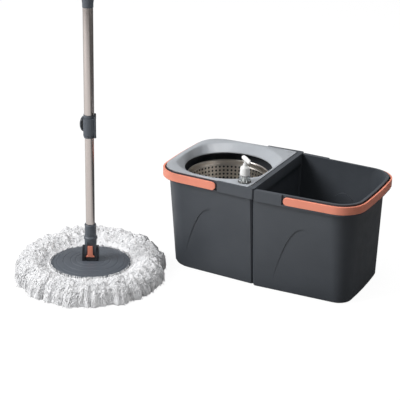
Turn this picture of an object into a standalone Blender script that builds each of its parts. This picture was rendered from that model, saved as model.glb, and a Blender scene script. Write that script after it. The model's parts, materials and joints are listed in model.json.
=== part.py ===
"""Spin mop set: a twin bucket with a spin wringer, and a flat-head string mop.

Sizes below are millimetres and every vertex is written in metres.  The origin is the middle of
the wringer bucket's underside, on the axis that the wringer basket turns about.  +X runs from
the wringer bucket to the rinse bucket, +Y to the back, +Z up.  The mop's own pieces are drawn
in a frame of their own, at the middle of its head on the floor, with +X along the tilt pin.
"""

import math

import bmesh
import bpy
from mathutils import Matrix

MM = 0.001
GAP = 0.3  # between two pieces that touch

# ---- twin bucket -------------------------------------------------------------------------
BUCKET_LENGTH = 215.0  # of each bucket, from the seam to its outer end
SEAM_X = BUCKET_LENGTH / 2
SEAM_DEPTH = 249.0  # front to back over the rim, at the seam
END_DEPTH = 231.0  # the same at the outer end
END_BULGE = 2.0
RIM_CORNER = 52.0
BASE_CORNER = {"wringer": 50.0, "rinse": 29.0}
WALL = 2.5
FLOOR = 3.0
RIM_TOP = 217.0
RIM_BAND = 22.5
RINSE_STEP = 2.5  # the rinse bucket's rim is this much lower
SEAM_CLEARANCE = 1.0  # from the seam plane to each bucket's seam wall
SIDE_INSET_TOP = 7.0  # front and back walls, inside the rim's edge
SIDE_INSET_BASE = {"wringer": 29.0, "rinse": 24.5}
END_INSET_TOP = {"wringer": 12.0, "rinse": 13.6}
END_INSET_BASE = {"wringer": 16.0, "rinse": 16.6}
FOOT_FILLET = 5.0
MOUTH_FLARE = {"wringer": 0.0, "rinse": 6.5}  # the cavity widens at its outer end

ARCH_TOP = 148.0
ARCH_FOOT = 24.0
ARCH_DEPTH = 2.2
ARCH_SPREAD = 31.0  # half width squared over drop, a parabola
ARCH_FROM_SEAM = {"wringer": 96.0, "rinse": 105.5}

HOOK_OVERLAP = 6.4  # the wringer bucket's top flange reaches this far past the seam
HOOK_LIP = 2.2
DIVIDER_INNER = 5.5
DECK_SHEET = 2.4

# ---- bails -------------------------------------------------------------------------------
BAIL_HEIGHT = 16.2
BAIL_THICK = 3.6
BAIL_PROUD = 1.6  # it stands out past the rim's edge
BAIL_CHANNEL = 4.6
BAIL_END_GAP = 3.6
BAIL_PIVOT_FROM_SEAM = {"wringer": 85.5, "rinse": 75.5}
BAIL_TOP_DROP = {"wringer": 4.4, "rinse": 2.6}
STUD_RADIUS = 4.0
STUD_REACH = 8.0  # how far in from the rim's edge the stud ends

# ---- splash deck and wringer basket --------------------------------------------------------
DECK_INSET = 4.8
OPENING_RADIUS = 89.5
FUNNEL_RADIUS = 112.0
FUNNEL_DROP = 15.5
BASKET_RIM_RADIUS = 84.5
BASKET_RIM_Z = 188.0
BASKET_WALL_TOP = 81.6
BASKET_WALL_FOOT = 72.0
BASKET_DEPTH = 74.0
BASKET_SHEET = 1.0
SPINDLE_RADIUS = 4.0

# ---- detergent pump ------------------------------------------------------------------------
PUMP_X, PUMP_Y = 82.0, -98.0
PUMP_TURN = math.radians(-37.5)  # the nozzle points to the front right

# ---- mop -----------------------------------------------------------------------------------
MOP_X, MOP_Y = -198.1, -215.7
MOP_TURN = math.radians(26.9)
PLATE_RADIUS = 80.0
PLATE_EDGE_Z = 29.5
PLATE_TOP_Z = 36.2
STRINGS_RADIUS = 160.0
PIN_Z = 57.0
LOWER_TUBE = 9.0
UPPER_TUBE = 9.9
TUBE_WALL = 0.6
SOCKET_TOP = 112.0
COLLAR_FOOT, COLLAR_TOP = 294.0, 340.4
JOINER_FOOT = 550.0
GRIP_FOOT, GRIP_TOP = 1010.0, 1190.0
LOWER_TUBE_TOP = 590.0
ROD_FOOT, ROD_TOP = 562.0, 800.0

PALETTE = {
    "bucket_grey": ((0.078, 0.086, 0.098), 0.42, 0.0),
    "deck_grey": ((0.42, 0.43, 0.44), 0.38, 0.0),
    "coral": ((0.86, 0.26, 0.16), 0.40, 0.0),
    "steel": ((0.62, 0.58, 0.55), 0.24, 1.0),
    "polished_steel": ((0.70, 0.69, 0.67), 0.15, 1.0),
    "plate_grey": ((0.085, 0.092, 0.102), 0.50, 0.0),
    "black_plastic": ((0.02, 0.022, 0.026), 0.45, 0.0),
    "white_plastic": ((0.86, 0.86, 0.85), 0.35, 0.0),
    "clear_plastic": ((0.75, 0.77, 0.76), 0.08, 0.0),
    "yarn": ((0.90, 0.90, 0.90), 0.95, 0.0),
}


# ---- helpers -------------------------------------------------------------------------------
def clear_scene():
    for obj in list(bpy.data.objects):
        bpy.data.objects.remove(obj, do_unlink=True)


def make_material(node, slot):
    colour, roughness, metallic = PALETTE[slot]
    material = bpy.data.materials.new(node + "_" + slot)
    material.use_nodes = True
    shader = material.node_tree.nodes["Principled BSDF"]
    shader.inputs["Base Color"].default_value = (*colour, 1.0)
    shader.inputs["Roughness"].default_value = roughness
    shader.inputs["Metallic"].default_value = metallic
    material.diffuse_color = (*colour, 1.0)
    return material


def add_object(name, bm, slot=None, at=(0, 0, 0), parent=None, smooth=35.0):
    """Turn bm, in millimetres about its own origin, into an object standing at a point."""
    bmesh.ops.transform(bm, matrix=Matrix.Scale(MM, 4), verts=bm.verts)
    bmesh.ops.recalc_face_normals(bm, faces=bm.faces)
    mesh = bpy.data.meshes.new(name)
    bm.to_mesh(mesh)
    bm.free()
    obj = bpy.data.objects.new(name, mesh)
    bpy.context.collection.objects.link(obj)
    obj.location = [value * MM for value in at]
    obj.parent = parent
    if slot:
        mesh.materials.append(make_material(name, slot))
    if smooth:
        mesh.shade_smooth()
        mesh.set_sharp_from_angle(angle=math.radians(smooth))
    return obj


def lathe_mesh(profile, segments=20):
    """Turn a closed outline of (radius, z) points about Z."""
    bm = bmesh.new()
    rings = []
    for radius, z in profile:
        if radius <= 0:
            rings.append([bm.verts.new((0, 0, z))])
            continue
        ring = []
        for index in range(segments):
            angle = 2 * math.pi * index / segments
            ring.append(bm.verts.new((radius * math.cos(angle), radius * math.sin(angle), z)))
        rings.append(ring)
    for first, second in zip(rings, rings[1:] + rings[:1]):
        if len(first) == 1 and len(second) == 1:
            continue
        for index in range(segments):
            after = (index + 1) % segments
            corners = [first[index % len(first)], first[after % len(first)],
                       second[after % len(second)], second[index % len(second)]]
            bm.faces.new(list(dict.fromkeys(corners)))
    return bm


def lathe(name, profile, slot, segments=20, at=(0, 0, 0), parent=None):
    return add_object(name, lathe_mesh(profile, segments), slot, at, parent)


def loft_mesh(rings, looped=False):
    """Skin equal rings of points; the first and last are capped unless the skin loops."""
    bm = bmesh.new()
    rows = [[bm.verts.new(point) for point in ring] for ring in rings]
    count = len(rows[0])
    pairs = list(zip(rows, rows[1:]))
    if looped:
        pairs.append((rows[-1], rows[0]))
    for first, second in pairs:
        for index in range(count):
            after = (index + 1) % count
            bm.faces.new((first[index], first[after], second[after], second[index]))
    if not looped:
        bm.faces.new(rows[0])
        bm.faces.new(rows[-1])
    return bm


def prism_mesh(outline, low, high, axis="Z"):
    """Extrude a plan outline along an axis: (x, y) for Z, (x, z) for Y, (y, z) for X."""
    def point(first, second, along):
        if axis == "Z":
            return (first, second, along)
        if axis == "Y":
            return (first, along, second)
        return (along, first, second)
    return loft_mesh([[point(u, v, along) for u, v in outline] for along in (low, high)])


def box_mesh(low, high):
    outline = [(low[0], low[1]), (high[0], low[1]), (high[0], high[1]), (low[0], high[1])]
    return prism_mesh(outline, low[2], high[2])


def cylinder_mesh(radius, low, high, axis="Z", centre=(0, 0), segments=16):
    outline = arc(centre, radius, 0, 360, segments)[:-1]
    return prism_mesh(outline, low, high, axis)


def arc(centre, radius, start, end, steps):
    """Points on an arc between two angles in degrees, both ends included."""
    points = []
    for index in range(steps + 1):
        angle = math.radians(start + (end - start) * index / steps)
        points.append((centre[0] + radius * math.cos(angle), centre[1] + radius * math.sin(angle)))
    return points


def rounded(corners, radii, steps):
    """Round each corner of a polygon; every corner gives steps + 1 points."""
    points = []
    for index, corner in enumerate(corners):
        before, after = corners[index - 1], corners[(index + 1) % len(corners)]
        to_before = math.atan2(before[1] - corner[1], before[0] - corner[0])
        to_after = math.atan2(after[1] - corner[1], after[0] - corner[0])
        opening = (to_after - to_before) % (2 * math.pi)
        bisector = to_before + opening / 2
        half = min(opening, 2 * math.pi - opening) / 2
        if opening > math.pi:
            bisector += math.pi
        radius = radii[index]
        reach = radius / math.sin(half)
        centre = (corner[0] + reach * math.cos(bisector), corner[1] + reach * math.sin(bisector))
        turn = math.pi - 2 * half
        sign = -1 if opening > math.pi else 1
        start = bisector + math.pi + sign * turn / 2
        for step in range(steps[index] + 1):
            angle = start - sign * turn * step / steps[index]
            points.append((centre[0] + radius * math.cos(angle),
                           centre[1] + radius * math.sin(angle)))
    return points


def helper(name, bm, at=(0, 0, 0), parent=None):
    """A cutter or filler: it shapes its neighbour and isn't a piece itself."""
    obj = add_object(name, bm, None, at, parent, smooth=None)
    obj.hide_render = True
    obj.display_type = "WIRE"
    return obj


def combine(target, operation, tool):
    modifier = target.modifiers.new(operation.lower() + "_" + tool.name, "BOOLEAN")
    modifier.operation = operation
    modifier.object = tool
    modifier.solver = "EXACT"


def cut(target, name, bm, at=(0, 0, 0), parent=None):
    combine(target, "DIFFERENCE", helper(name, bm, at, parent))


def fill(target, name, bm, at=(0, 0, 0), parent=None):
    combine(target, "UNION", helper(name, bm, at, parent))


# ---- twin bucket ---------------------------------------------------------------------------
def half_depth(from_seam):
    share = from_seam / BUCKET_LENGTH
    return (SEAM_DEPTH * (1 - share) + END_DEPTH * share) / 2


def bucket_ring(side, z, seam, end_inset, side_inset, corner):
    """One level of a bucket's plan; side is -1 for the wringer bucket and +1 for the rinse."""
    end = BUCKET_LENGTH - end_inset
    near, far = half_depth(seam) - side_inset, half_depth(end) - side_inset
    corners = [(seam, -near), (end, -far), (end, far), (seam, near)]
    points = rounded(corners, (3.0, corner, corner, 3.0), (1, 7, 7, 1))
    outer_arc_end, inner_arc_start = 9, 10
    low, high = points[outer_arc_end], points[inner_arc_start]
    bulged = []
    for share in (0.25, 0.5, 0.75):
        bulge = END_BULGE * math.sin(math.pi * share)
        bulged.append((low[0] + bulge, low[1] + (high[1] - low[1]) * share))
    points = points[:inner_arc_start] + bulged + points[inner_arc_start:]
    return [(SEAM_X + side * x, y, z) for x, y in points]


def body_inset(kind, z, band_foot):
    """End and side inset of a bucket's outer wall, and its corner radius, at a height."""
    share = z / band_foot
    end, flank, corner = END_INSET_BASE[kind], SIDE_INSET_BASE[kind], BASE_CORNER[kind]
    return (end + (END_INSET_TOP[kind] - end) * share,
            flank + (SIDE_INSET_TOP - flank) * share,
            corner + (RIM_CORNER - 6 - corner) * share)


def bucket_shell(kind, side, rim_top, seam_rim):
    band_foot = rim_top - RIM_BAND
    rings = []
    for z, extra in ((0.0, FOOT_FILLET), (FOOT_FILLET * 0.3, FOOT_FILLET * 0.3),
                     (FOOT_FILLET, 0.0), (band_foot, 0.0)):
        end, flank, corner = body_inset(kind, z, band_foot)
        rings.append(bucket_ring(side, z, SEAM_CLEARANCE + extra * 0.3, end + extra,
                                 flank + extra, corner - extra * 0.5))
    rings.append(bucket_ring(side, band_foot + 0.4, seam_rim, 0.0, 0.0, RIM_CORNER))
    rings.append(bucket_ring(side, rim_top, seam_rim, 0.0, 0.0, RIM_CORNER))
    for z, flare in ((rim_top, MOUTH_FLARE[kind]), (band_foot, 0.0), (FLOOR + FOOT_FILLET, 0.0)):
        end, flank, corner = body_inset(kind, min(z, band_foot), band_foot)
        rings.append(bucket_ring(side, z, SEAM_CLEARANCE + WALL, end + WALL - flare,
                                 flank + WALL, corner - WALL))
    end, flank, corner = body_inset(kind, FLOOR, band_foot)
    rings.append(bucket_ring(side, FLOOR, SEAM_CLEARANCE + WALL + 3, end + WALL + 3,
                             flank + WALL + 3, corner - WALL - 2))
    return add_object(kind + "_bucket", loft_mesh(rings), "bucket_grey", smooth=28.0)


def arch_outline(widen):
    """Half widths and heights of the moulded arch, from its foot over the top and down."""
    steps = 7
    left = []
    for index in range(steps + 1):
        share = index / steps
        drop = (ARCH_TOP + widen - ARCH_FOOT) * share * share
        left.append((math.sqrt(ARCH_SPREAD * drop) + widen * share, ARCH_TOP + widen - drop))
    return [(-x, z) for x, z in reversed(left)] + left[1:]


def arch_mesh(kind, side, rim_top, front, near_depth, far_depth, widen):
    """A slab over the arch, between two depths inside the leaning wall's outer face."""
    band_foot = rim_top - RIM_BAND

    def point(x, z, depth, fade):
        along = ARCH_FROM_SEAM[kind] + x
        wall = half_depth(along) - body_inset(kind, z, band_foot)[1]
        faded = depth + fade * ARCH_DEPTH * (z - ARCH_FOOT - 3) / (ARCH_TOP - ARCH_FOOT)
        return (SEAM_X + side * along, front * (wall - faded), z)

    outline = arch_outline(widen)
    return loft_mesh([[point(x, z, near_depth, 0) for x, z in outline],
                      [point(x, z, far_depth, 1) for x, z in outline]])


def add_arches(bucket, kind, side, rim_top):
    for face, front in (("front", -1), ("back", 1)):
        stem = kind + "_arch_" + face
        fill(bucket, stem + "_pad",
             arch_mesh(kind, side, rim_top, front, 1.2, WALL, 2.5))
        cut(bucket, stem + "_recess",
            arch_mesh(kind, side, rim_top, front, -12.0, 0.0, 0.0))


def cut_bail_channel(bucket, kind, side, rim_top):
    """The rim steps in where the bail lies against it, and has a round socket at each pivot."""
    channel_foot = rim_top - BAIL_TOP_DROP[kind] - BAIL_HEIGHT - GAP
    from_seam = BAIL_PIVOT_FROM_SEAM[kind]
    start = from_seam - BAIL_HEIGHT / 2 - BAIL_END_GAP
    ring = bucket_ring(1, 0, 0, BAIL_CHANNEL, BAIL_CHANNEL, RIM_CORNER - BAIL_CHANNEL)
    path = [(x - SEAM_X, y) for x, y, _ in ring if x - SEAM_X > start]
    edge = half_depth(start) - BAIL_CHANNEL
    outline = [(start, -edge)] + path + [(start, edge), (start, 160), (260, 160),
                                         (260, -160), (start, -160)]
    outline = [(SEAM_X + side * x, y) for x, y in outline]
    cut(bucket, kind + "_channel", prism_mesh(outline, channel_foot, rim_top + 5))
    pivot = (SEAM_X + side * from_seam, bail_pivot_z(kind, rim_top))
    rim = half_depth(from_seam)
    for face, front in (("front", -1), ("back", 1)):
        ends = sorted((front * (rim - BAIL_CHANNEL + 1), front * (rim - STUD_REACH - 0.5)))
        cut(bucket, kind + "_socket_" + face,
            cylinder_mesh(STUD_RADIUS + 0.4, *ends, axis="Y", centre=pivot))


def bail_pivot_z(kind, rim_top):
    return rim_top - BAIL_TOP_DROP[kind] - BAIL_HEIGHT / 2


def make_rinse_bucket():
    rim_top = RIM_TOP - RINSE_STEP
    bucket = bucket_shell("rinse", 1, rim_top, SEAM_CLEARANCE)
    add_arches(bucket, "rinse", 1, rim_top)
    cut_bail_channel(bucket, "rinse", 1, rim_top)
    band_start = SEAM_X + HOOK_OVERLAP + 0.8
    seam_top = RIM_TOP - 3.4 - 0.6
    cut(bucket, "rinse_seam_top", box_mesh((SEAM_X - 5, -150, seam_top), (band_start, 150, 230)))
    flank = half_depth(4) - SIDE_INSET_TOP
    for face, front in (("front", -1), ("back", 1)):
        ends = sorted((front * flank, front * 150))
        cut(bucket, "rinse_band_end_" + face,
            box_mesh((SEAM_X - 5, ends[0], rim_top - RIM_BAND - 0.5),
                     (band_start, ends[1], 231)))
    return bucket


def make_wringer_bucket():
    bucket = bucket_shell("wringer", -1, RIM_TOP, -HOOK_OVERLAP)
    add_arches(bucket, "wringer", -1, RIM_TOP)
    cut_bail_channel(bucket, "wringer", -1, RIM_TOP)
    cut_hook(bucket)
    cut_deck_seat(bucket)
    for index in range(3):
        x, y = screw_place(index)
        fill(bucket, "screw_boss_%d" % (index + 1),
             cylinder_mesh(5.0, 1.5, 9.0, segments=12), at=(x, y, 0))
        cut(bucket, "screw_pilot_%d" % (index + 1),
            cylinder_mesh(1.9, 4.0, 12.0, segments=10), at=(x, y, 0))
    return bucket


def cut_hook(bucket):
    """Leave room under the top flange for the rinse bucket's seam wall."""
    under = RIM_TOP - 3.4
    lip_face = HOOK_OVERLAP - HOOK_LIP
    wide = half_depth(0) - SIDE_INSET_TOP + 0.6
    narrow = half_depth(0) - SIDE_INSET_TOP - WALL - 4.5
    far = HOOK_OVERLAP + 4
    outline = [(-SEAM_CLEARANCE, -wide), (far, -wide), (far, -narrow), (lip_face, -narrow),
               (lip_face, narrow), (far, narrow), (far, wide), (-SEAM_CLEARANCE, wide)]
    cut(bucket, "hook_slot",
        prism_mesh([(SEAM_X + x, y) for x, y in outline], RIM_TOP - RIM_BAND - 3, under))


def cut_deck_seat(bucket):
    """A rebate in the rim's top that the deck lies in, flush."""
    ring = deck_outline(DECK_INSET - 0.4, DIVIDER_INNER)
    cut(bucket, "deck_seat", prism_mesh(ring, RIM_TOP - DECK_SHEET - GAP, RIM_TOP + 4))


def deck_outline(inset, seam):
    ring = bucket_ring(-1, 0, seam, inset, inset, RIM_CORNER - inset)
    return [(x, y) for x, y, _ in ring]


def make_bail(kind, side, rim_top):
    """A flat strip round the outer end of the rim, with an inward stud at each end."""
    low = rim_top - BAIL_TOP_DROP[kind] - BAIL_HEIGHT
    from_seam = BAIL_PIVOT_FROM_SEAM[kind]
    pivot_x = SEAM_X + side * from_seam
    pivot_z = bail_pivot_z(kind, rim_top)
    start = from_seam - BAIL_HEIGHT / 2 + 0.2
    outline = []
    for inset, order in ((-BAIL_PROUD, 1), (BAIL_THICK - BAIL_PROUD, -1)):
        ring = bucket_ring(1, 0, 0, inset, inset, RIM_CORNER - inset)
        edge = half_depth(start) - inset
        path = [(start, -edge)]
        path += [(x - SEAM_X, y) for x, y, _ in ring if x - SEAM_X > start]
        path += [(start, edge)]
        outline += path[::order]
    bm = prism_mesh([(side * (x - from_seam), y) for x, y in outline],
                    low - pivot_z, low - pivot_z + BAIL_HEIGHT)
    bail = add_object(kind + "_bail", bm, "coral", at=(pivot_x, 0, pivot_z))
    radius = BAIL_HEIGHT / 2
    tip = [(-side * 15, 15), (-side * 15, -15), (0, -15), (0, -radius)]
    tip += [(-side * x, z) for x, z in arc((0, 0), radius, -90, 90, 12)[1:-1]]
    tip += [(0, radius), (0, 15)]
    cut(bail, kind + "_bail_tips", prism_mesh(tip, -150, 150, "Y"), at=(pivot_x, 0, pivot_z))
    rim = half_depth(from_seam)
    for face, front in (("front", -1), ("back", 1)):
        ends = sorted((front * rim, front * (rim - STUD_REACH)))
        fill(bail, kind + "_bail_stud_" + face,
             cylinder_mesh(STUD_RADIUS, *ends, axis="Y"), at=(pivot_x, 0, pivot_z))
    return bail


# ---- splash deck ---------------------------------------------------------------------------
def outline_radius(outline, angle):
    """Distance from the origin to an outline, along a direction."""
    ux, uy = math.cos(angle), math.sin(angle)
    for first, second in zip(outline, outline[1:] + outline[:1]):
        dx, dy = second[0] - first[0], second[1] - first[1]
        cross = ux * dy - uy * dx
        if abs(cross) < 1e-9:
            continue
        along = (first[0] * dy - first[1] * dx) / cross
        share = (first[0] * uy - first[1] * ux) / cross
        if along > 0 and -1e-9 <= share <= 1 + 1e-9:
            return along
    return OPENING_RADIUS


def deck_angles(outline, spokes):
    """Even spokes, with one through each end of the seam-side corners."""
    angles = [2 * math.pi * index / spokes for index in range(spokes)]
    for x, y in outline:
        if x > SEAM_X - 20:
            angle = math.atan2(y, x) % (2 * math.pi)
            nearest = min(range(spokes), key=lambda index: abs(angles[index] - angle))
            angles[nearest] = angle
    return angles


def make_deck():
    """A thin moulded sheet: flat where it lies on the rim, then a funnel down to the opening."""
    outline = deck_outline(DECK_INSET, DIVIDER_INNER + 0.8)
    brim_ring = bucket_ring(-1, 0, DIVIDER_INNER + 3, END_INSET_TOP["wringer"] + WALL + 0.8,
                            SIDE_INSET_TOP + WALL + 0.8, RIM_CORNER - 11)
    brim = [(x, y) for x, y, _ in brim_ring]
    angles = deck_angles(outline, 48)
    edges = [outline_radius(outline, angle) for angle in angles]
    starts = [min(outline_radius(brim, angle), FUNNEL_RADIUS) for angle in angles]

    def ring(share, drop):
        """Share 0 is where the funnel starts, 1 is the opening, None is the outer edge."""
        points = []
        for angle, edge, start in zip(angles, edges, starts):
            radius, z = edge, RIM_TOP - drop
            if share is not None:
                radius = start + (OPENING_RADIUS - start) * share
                z -= FUNNEL_DROP * (0.5 * share * share * (3 - 2 * share) + 0.5 * share)
            points.append((radius * math.cos(angle), radius * math.sin(angle), z))
        return points

    shares = [None, 0.0, 0.5, 1.0]
    top = [ring(share, 0) for share in shares]
    under = [ring(share, DECK_SHEET) for share in reversed(shares)]
    deck = add_object("splash_deck", loft_mesh(top + under, looped=True), "deck_grey")
    cut(deck, "pump_hole", cylinder_mesh(11.6, 205, 225), at=(PUMP_X, PUMP_Y, 0))
    return deck


# ---- wringer basket ------------------------------------------------------------------------
def make_basket():
    rim, sheet = BASKET_RIM_RADIUS, BASKET_SHEET
    foot_z = BASKET_RIM_Z - BASKET_DEPTH
    outer = [(16.0, foot_z), (BASKET_WALL_FOOT - 6, foot_z), (BASKET_WALL_FOOT, foot_z + 6),
             (BASKET_WALL_TOP, BASKET_RIM_Z - 4)]
    roll = [(rim, BASKET_RIM_Z - 3.2), (rim + 0.6, BASKET_RIM_Z - 1.4), (rim - 0.6, BASKET_RIM_Z),
            (rim - 2.6, BASKET_RIM_Z)]
    inner = [(BASKET_WALL_TOP - sheet, BASKET_RIM_Z - 4), (BASKET_WALL_FOOT - sheet, foot_z + 6),
             (BASKET_WALL_FOOT - 6, foot_z + sheet), (16.0, foot_z + sheet)]
    lathe("basket_shell", outer + roll + inner, "polished_steel", 36)
    hub_top = foot_z + 12
    lathe("basket_hub", [(SPINDLE_RADIUS + GAP, foot_z - 7), (20.0, foot_z - 7),
                         (20.0, foot_z - GAP), (15.5, foot_z - GAP), (15.5, foot_z + 4),
                         (10.0, hub_top), (SPINDLE_RADIUS + GAP, hub_top)], "bucket_grey", 20)
    lathe("hub_ring", [(16.2, foot_z + sheet + GAP), (27.0, foot_z + sheet + GAP),
                       (25.0, foot_z + 4.5), (16.2, foot_z + 4.5)], "bucket_grey", 20)
    lathe("hub_cap", [(0, hub_top + 4.3), (7.0, hub_top + 4.3), (7.0, hub_top + GAP),
                      (11.0, hub_top + GAP), (10.5, hub_top + 5), (6.0, hub_top + 8.5),
                      (0, hub_top + 9.5)], "bucket_grey", 20)
    spindle_foot = 14.0
    lathe("spindle", [(0, spindle_foot), (SPINDLE_RADIUS - 1, spindle_foot),
                      (SPINDLE_RADIUS, spindle_foot + 1), (SPINDLE_RADIUS, hub_top + 3),
                      (SPINDLE_RADIUS - 1, hub_top + 4), (0, hub_top + 4)], "steel", 12)
    bearing_top = foot_z - 7 - 2
    lathe("spindle_bearing", [(SPINDLE_RADIUS + GAP, bearing_top - 8), (11.0, bearing_top - 8),
                              (11.0, bearing_top), (SPINDLE_RADIUS + GAP, bearing_top)],
          "polished_steel", 18)
    make_post(bearing_top)


def screw_place(index):
    angle = math.radians(99 + 120 * index)
    return 30.0 * math.cos(angle), 30.0 * math.sin(angle)


def make_post(bearing_top):
    """A hollow cone that stands on the bucket's floor bosses and holds the bearing."""
    seat = bearing_top - 8 - GAP
    profile = [(SPINDLE_RADIUS + 0.5, 9.3), (37.0, 9.3), (37.0, 12.3), (24.0, 12.3),
               (20.0, 20.0), (14.5, seat - 4), (14.5, bearing_top - 1), (11.3, bearing_top - 1),
               (11.3, seat), (SPINDLE_RADIUS + 1.0, seat), (SPINDLE_RADIUS + 1.0, seat - 3),
               (10.0, seat - 8), (16.0, 20.0), (16.0, 12.3), (SPINDLE_RADIUS + 0.5, 12.3)]
    post = lathe("spindle_post", profile, "bucket_grey", 16)
    for index in range(3):
        x, y = screw_place(index)
        cut(post, "post_hole_%d" % (index + 1),
            cylinder_mesh(2.2, 5, 20, segments=10), at=(x, y, 0))
        head = [(0, 5.0), (1.6, 5.0), (1.6, 12.6), (3.8, 12.6), (3.8, 14.2), (2.6, 15.2), (0, 15.2)]
        lathe("post_screw_%d" % (index + 1), head, "steel", 10, at=(x, y, 0))


# ---- detergent pump ------------------------------------------------------------------------
def make_pump():
    at = (PUMP_X, PUMP_Y, 0)
    deck = RIM_TOP + GAP
    lathe("pump_bottle", [(0, 146), (7.5, 146), (9.0, 149), (11.0, 206), (11.0, deck),
                          (13.2, deck), (13.2, deck + 1.8), (11.2, deck + 3.2), (11.2, deck + 14),
                          (8.6, deck + 14), (8.6, 204), (7.2, 152), (5.5, 149), (0, 149)],
          "clear_plastic", 16, at)
    cap_foot = deck + 14 + GAP
    lathe("pump_cap", [(8.0, cap_foot), (9.6, cap_foot), (9.8, cap_foot + 2),
                       (9.5, cap_foot + 14), (8.2, cap_foot + 16.8), (6.2, cap_foot + 18),
                       (4.4, cap_foot + 18.6), (4.2, cap_foot + 23.5), (2.8, cap_foot + 23.5),
                       (2.8, cap_foot + 14), (8.0, cap_foot + 14)], "white_plastic", 18, at)
    top = cap_foot + 14 - GAP
    lathe("pump_cylinder", [(1.2, 196), (2.4, 196), (2.4, 203), (6.0, 205), (6.0, top - 3),
                            (7.6, top - 3), (7.6, top), (4.3, top), (4.3, 207), (1.2, 207)],
          "white_plastic", 12, at)
    lathe("dip_tube", [(0.9, 153), (1.8, 153), (1.8, 195.7), (0.9, 195.7)], "clear_plastic",
          8, at)
    piston = top - 12
    lathe("pump_stem", [(0, piston - 4), (3.8, piston - 4), (3.8, piston), (2.3, piston + 1.5),
                        (2.3, cap_foot + 28.6), (0, cap_foot + 28.6)], "white_plastic", 12, at)
    make_spring(at, 207.6, piston - 4.6)
    make_nozzle(at, cap_foot + 28.6 + GAP)


def make_spring(at, low, high):
    turns, steps, wire, radius = 5, 7, 0.45, 3.2
    rings = []
    total = turns * steps
    for index in range(total + 1):
        angle = 2 * math.pi * index / steps
        z = low + (high - low) * index / total
        ux, uy = math.cos(angle), math.sin(angle)
        ring = []
        for corner in range(4):
            turn = math.radians(90 * corner + 45)
            out = radius + wire * math.cos(turn)
            ring.append((out * ux, out * uy, z + wire * math.sin(turn)))
        rings.append(ring)
    add_object("pump_spring", loft_mesh(rings), "steel", at)


def make_nozzle(at, foot):
    """A round-ended capsule that droops a little towards its tip, off centre on the stem."""
    rings = []
    stations = ((-10.6, 1.6, 0.4), (-9.4, 3.4, 0.3), (-6.8, 4.5, 0.2), (0.0, 4.6, 0.0),
                (8.0, 4.5, -0.7), (15.5, 4.3, -2.0), (18.2, 3.2, -2.6), (19.4, 1.5, -2.9))
    for along, radius, sink in stations:
        ring = []
        for index in range(12):
            angle = 2 * math.pi * index / 12
            across = radius * math.cos(angle)
            z = foot + 4.5 + sink + radius * 0.97 * math.sin(angle)
            ring.append((along * math.cos(PUMP_TURN) - across * math.sin(PUMP_TURN),
                         along * math.sin(PUMP_TURN) + across * math.cos(PUMP_TURN), z))
        rings.append(ring)
    add_object("pump_nozzle", loft_mesh(rings), "white_plastic", at)


# ---- mop head ------------------------------------------------------------------------------
def make_head(stand):
    lathe("mop_strings", [(58, 0), (150, 0), (158, 6), (STRINGS_RADIUS, 16), (157, 30),
                          (148, 41.5), (134, 45.5), (120, 43), (98, 34), (83, 27.5),
                          (81.5, 24.5), (73, 24.5), (73, 12.4), (58, 12.4)], "yarn", 26,
          parent=stand)
    lathe("refill_ring", [(56, 12.7), (72, 12.7), (72, 24.5), (69.5, 26.5), (67, 24.5),
                          (67, 16), (61, 16), (61, 22), (56, 22)], "white_plastic", 24,
          parent=stand)
    under = 2.6
    lathe("mop_plate", [(2.6, 26), (14, 26), (14, PLATE_TOP_Z - under), (20, PLATE_TOP_Z - under),
                        (50, PLATE_TOP_Z - 2 - under), (74, PLATE_EDGE_Z - under + 0.8),
                        (75.5, 25.2), (PLATE_RADIUS - 1, 25.2), (PLATE_RADIUS, 26.2),
                        (PLATE_RADIUS, PLATE_EDGE_Z - 1), (PLATE_RADIUS - 1.5, PLATE_EDGE_Z),
                        (66, PLATE_EDGE_Z + 2.6), (50, PLATE_TOP_Z - 2), (20, PLATE_TOP_Z),
                        (9.3, PLATE_TOP_Z), (9.3, 28), (2.6, 28)], "plate_grey", 28,
          parent=stand)
    lathe("plate_screw", [(0, 22.8), (4.6, 22.8), (4.6, 25.7), (1.8, 25.7), (1.8, 33.5),
                          (0, 34.5)], "steel", 16, parent=stand)
    make_yoke(stand)
    lathe_pin = cylinder_mesh(3.0, -16.0, 16.0, "X", (0, 0), 14)
    add_object("tilt_pin", lathe_pin, "steel", (0, 0, PIN_Z), stand)


def make_yoke(stand):
    """Two cheeks on a round foot; the handle's tongue turns between them."""
    foot = PLATE_TOP_Z + GAP
    outline = [(-13, foot), (13, foot), (12.5, 46)]
    outline += arc((0, PIN_Z), 8.8, -5, 185, 12)
    outline += [(-12.5, 46)]
    yoke = add_object("yoke", prism_mesh(outline, -16.2, 16.2, "X"), "black_plastic",
                      parent=stand)
    fill(yoke, "yoke_spigot", cylinder_mesh(9.0, 28.3, foot + 1), parent=stand)
    cut(yoke, "yoke_slot", box_mesh((-11.4, -30, 38.6), (11.4, 30, 90)), parent=stand)
    cut(yoke, "yoke_bore", cylinder_mesh(3.3, -30, 30, "X", (0, PIN_Z), 14), parent=stand)
    cut(yoke, "yoke_pilot", cylinder_mesh(2.1, 20, 35.5, segments=12), parent=stand)


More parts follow.
